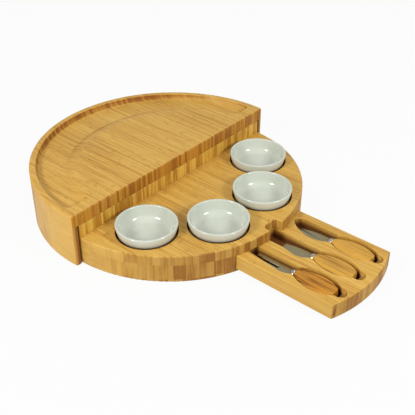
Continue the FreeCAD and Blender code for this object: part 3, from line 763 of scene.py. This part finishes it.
def blade_mesh(name, outline, height, thickness, grind, edge):
    """A flat blade whose rim slopes down to a thin edge on both sides. The outline is (x, y) points."""
    shape = bmesh.new()
    rim = [shape.verts.new((x, y, height)) for x, y in outline]
    top = shape.faces.new(rim)
    if top.normal.z < 0:
        top.normal_flip()
    made = bmesh.ops.extrude_face_region(shape, geom=[top])
    moved = [part for part in made["geom"] if isinstance(part, bmesh.types.BMVert)]
    for vert in moved:
        vert.co.z += edge / 2
    for vert in rim:
        vert.co.z -= edge / 2
    shape.faces.ensure_lookup_table()
    flats = [face for face in shape.faces if len(face.verts) == len(outline)]
    for face in flats:
        way = 1 if face.calc_center_median().z > height else -1
        bmesh.ops.inset_region(shape, faces=[face], thickness=grind, use_even_offset=True)
        for vert in face.verts:
            vert.co.z = height + way * thickness / 2
    bmesh.ops.recalc_face_normals(shape, faces=shape.faces)
    mesh = bpy.data.meshes.new(name)
    shape.to_mesh(mesh)
    shape.free()
    return mesh


def top_outline(node):
    """The outline of a flat CAD node's upper face, anticlockwise from above."""
    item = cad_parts[node]
    places = [item.matrix_world @ vertex.co for vertex in item.data.vertices]
    level = max(place.z for place in places)
    sides = {}
    for face in item.data.polygons:
        corners = [places[number] for number in face.vertices]
        if min(corner.z for corner in corners) > level - 0.01 * MM:
            keys = [(round(corner.x, 6), round(corner.y, 6)) for corner in corners]
            sides.update({(keys[place - 1], keys[place]): True for place in range(len(keys))})
    after = {start: end for start, end in sides if (end, start) not in sides}
    outline = [next(iter(after))]
    while after[outline[-1]] != outline[0]:
        outline.append(after[outline[-1]])
    return outline


def side_radius(rise, run):
    """The radius of an arc that starts parallel to the run and moves sideways by the rise."""
    return (rise ** 2 + run ** 2) / (2 * rise)


# Operators
class MakeBoard(bpy.types.Operator):
    """Finish the raised half, the tray and the drawer as glued bamboo"""
    bl_idname = "cheese_board.board"
    bl_label = "Bamboo board"

    def execute(self, context):
        look = settings().bamboo
        end_tints = {"top_plate": look.plate_end_tint, "tray_fence": look.fence_end_tint}
        for number, name in enumerate(BAMBOO_NODES):
            material = bamboo_material(f"bamboo {name}", number * 3.0, SCORCH_AND_SHADE_PARTS.get(name),
                                       fine=name in end_tints, end_tint=end_tints.get(name))
            finish_node(name, material)
        wall = bamboo_material("bamboo wall", 5.0, wall_gap_shade, end_tint=look.wall_end_tint)
        finish_node("cover_wall", wall)
        finish_node("drawer_stop_peg", bamboo_material("bamboo peg", 9.0))
        return {"FINISHED"}


class MakePivot(bpy.types.Operator):
    """Finish the hidden bolt, washers and insert of the swivel"""
    bl_idname = "cheese_board.pivot"
    bl_label = "Swivel fittings"

    def execute(self, context):
        zinc = metal_material("zinc plate", tint=(0.56, 0.57, 0.58), roughness=0.28,
                              grain=(400.0, 400.0, 90.0))
        brass = metal_material("brass", tint=(0.72, 0.50, 0.20), roughness=0.22, grain=(90.0, 90.0, 900.0))
        finish_node("pivot_bolt", zinc)
        finish_node("pivot_washer", zinc)
        finish_node("pivot_insert", brass)
        finish_node("pivot_spacer", nylon_material())
        return {"FINISHED"}


class MakeDishes(bpy.types.Operator):
    """Turn the white dishes and glaze them"""
    bl_idname = "cheese_board.dishes"
    bl_label = "Dishes"

    def execute(self, context):
        look = settings().dish
        glaze = glaze_material()
        for name in DISHES:
            low, high = corners(name)
            middle = (low + high) / 2
            outline = dish_outline(look, low.z, high.z)
            mesh = turned_mesh(f"{name}_glazed", outline, (middle.x, middle.y, 0.0), glaze, look.segments)
            new_piece(f"{name}_glazed", mesh, glaze, name, name)
        return {"FINISHED"}


class MakeKnives(bpy.types.Operator):
    """Shape the knives' blades, ferrules and handles"""
    bl_idname = "cheese_board.knives"
    bl_label = "Knives"

    def execute(self, context):
        look = settings().knife
        steel = metal_material("blade steel", tint=look.steel, roughness=0.27, grain=(1600.0, 60.0, 200.0))
        collar = metal_material("polished collar", tint=(0.62, 0.61, 0.58), roughness=0.12,
                                grain=(60.0, 500.0, 60.0))
        dark_wood = handle_material("dark handle", look.dark_wood, contrast=4.5)
        pale_wood = handle_material("pale handle", look.light_wood, contrast=0.9)
        for name in KNIVES:
            is_fork = name == "fork"
            self.grip(name, dark_wood if is_fork else pale_wood, look)
            self.collar(name, collar)
            self.blade(name, steel, FORK_GRIND if is_fork else look.grind, look.edge_thickness)
        return {"FINISHED"}

    def grip(self, name, material, look):
        low, high = corners(f"{name}_handle")
        mesh = loft(f"{name}_grip", handle_rings(low, high, look))
        new_piece(f"{name}_grip", mesh, material, name, f"{name}_handle")

    def collar(self, name, material):
        low, high = corners(f"{name}_ferrule")
        middle = (low + high) / 2
        mesh = turned_mesh(f"{name}_collar", collar_outline(low.y, high.y), (middle.x, 0.0, middle.z),
                           material, 48, (math.radians(-90), 0.0, 0.0))
        new_piece(f"{name}_collar", mesh, material, name, f"{name}_ferrule")

    def blade(self, name, material, grind, edge):
        low, high = corners(f"{name}_blade")
        mesh = blade_mesh(f"{name}_steel", top_outline(f"{name}_blade"), (low.z + high.z) / 2,
                          high.z - low.z, grind, edge)
        new_piece(f"{name}_steel", mesh, material, name, f"{name}_blade")


class MakeStage(bpy.types.Operator):
    """Set the pale floor, the soft lights and the camera"""
    bl_idname = "cheese_board.stage"
    bl_label = "Stage"

    def execute(self, context):
        self.floor()
        self.world()
        self.lights()
        self.camera(settings().stage)
        context.scene.view_settings.view_transform = "Standard"
        return {"FINISHED"}

    def floor(self):
        mesh = bpy.data.meshes.new("floor")
        reach = FLOOR_HALF_WIDTH
        mesh.from_pydata([(-reach, -reach, 0), (reach, -reach, 0), (reach, reach, 0), (-reach, reach, 0)],
                         [], [(0, 1, 2, 3)])
        floor = bpy.data.objects.new("floor", mesh)
        bpy.context.scene.collection.objects.link(floor)
        floor.location.z = -FLOOR_DROP
        material = bpy.data.materials.new("pale floor")
        material.use_nodes = True
        tree = material.node_tree
        tree.nodes.clear()
        leave = tree.nodes.new("ShaderNodeOutputMaterial")
        matte = add_node(tree, "ShaderNodeBsdfDiffuse", color=(FLOOR_GREY, FLOOR_GREY, FLOOR_GREY, 1.0))
        glow = add_node(tree, "ShaderNodeEmission", color=(1.0, 1.0, 1.0, 1.0), strength=1.0)
        path = tree.nodes.new("ShaderNodeLightPath")
        seen = maths(tree, "MAXIMUM", path.outputs["Is Camera Ray"], path.outputs["Is Glossy Ray"])
        seen = maths(tree, "MAXIMUM", seen, path.outputs["Is Transmission Ray"])
        mix = add_node(tree, "ShaderNodeMixShader", in_0=product(tree, seen, FLOOR_GLOW),
                       in_1=matte.outputs[0], in_2=glow.outputs[0])
        tree.links.new(mix.outputs[0], leave.inputs[0])
        mesh.materials.append(material)

    def world(self):
        world = bpy.data.worlds.new("studio")
        bpy.context.scene.world = world
        world.use_nodes = True
        tree = world.node_tree
        tree.nodes.clear()
        leave = tree.nodes.new("ShaderNodeOutputWorld")
        lit = add_node(tree, "ShaderNodeBackground", color=(1.0, 1.0, 1.0, 1.0), strength=WORLD_STRENGTH)
        seen = add_node(tree, "ShaderNodeBackground", color=(1.0, 1.0, 1.0, 1.0), strength=1.0)
        path = tree.nodes.new("ShaderNodeLightPath")
        white = maths(tree, "MAXIMUM", path.outputs["Is Camera Ray"], path.outputs["Is Transmission Ray"])
        mix = add_node(tree, "ShaderNodeMixShader", in_0=white, in_1=lit.outputs[0], in_2=seen.outputs[0])
        tree.links.new(mix.outputs[0], leave.inputs[0])

    def lights(self):
        # name, place, watts
        lamps = (("softbox_left", (-1.23, 0.12, 0.85), 11.0), ("softbox_right", (0.12, -1.27, 0.85), 9.5))
        for name, place, power in lamps:
            lamp = bpy.data.lights.new(name, "AREA")
            lamp.shape = "RECTANGLE"
            lamp.size, lamp.size_y, lamp.energy = SOFTBOX_WIDTH, SOFTBOX_WIDTH, power
            item = bpy.data.objects.new(name, lamp)
            bpy.context.scene.collection.objects.link(item)
            item.location = place
            way = Vector(LIGHTS_AIM) - Vector(place)
            item.rotation_euler = way.to_track_quat("-Z", "Y").to_euler()

    def camera(self, view):
        lens = bpy.data.cameras.new("camera")
        camera = bpy.data.objects.new("camera", lens)
        bpy.context.scene.collection.objects.link(camera)
        back = Vector((math.sin(view.azimuth) * math.cos(view.elevation),
                       -math.cos(view.azimuth) * math.cos(view.elevation), math.sin(view.elevation)))
        camera.location = Vector(view.target) + back * view.distance
        camera.rotation_euler = (-back).to_track_quat("-Z", "Y").to_euler()
        lens.sensor_width = 36.0
        lens.lens = view.lens
        lens.clip_start, lens.clip_end = 0.01, 50.0
        bpy.context.scene.camera = camera


class CheeseBoardPanel(bpy.types.Panel):
    """Steps of the cheese board"""
    bl_idname = "VIEW3D_PT_cheese_board"
    bl_label = "Cheese board"
    bl_space_type = "VIEW_3D"
    bl_region_type = "UI"
    bl_category = "Cheese board"

    def draw(self, context):
        for step in STEPS:
            self.layout.operator(step.bl_idname)
        for group in ("bamboo", "dish", "knife", "stage"):
            box = self.layout.box()
            box.label(text=group.title())
            data = getattr(context.scene.cheese_board, group)
            for name in data.__annotations__:
                box.prop(data, name)


STEPS = (MakeBoard, MakePivot, MakeDishes, MakeKnives, MakeStage)
GROUPS = (BambooSettings, DishSettings, KnifeSettings, StageSettings, CheeseBoardSettings)


def register():
    for item in (*GROUPS, *STEPS, CheeseBoardPanel):
        bpy.utils.register_class(item)
    bpy.types.Scene.cheese_board = PointerProperty(type=CheeseBoardSettings)


def unregister():
    del bpy.types.Scene.cheese_board
    for item in reversed((*GROUPS, *STEPS, CheeseBoardPanel)):
        bpy.utils.unregister_class(item)


def main():
    register()
    bamboo_strips_group()
    end_grain_group()
    handling_wear_group()
    turned_tree()
    for step in ("board", "pivot", "dishes", "knives", "stage"):
        getattr(bpy.ops.cheese_board, step)()


if __name__ == "__main__":
    main()
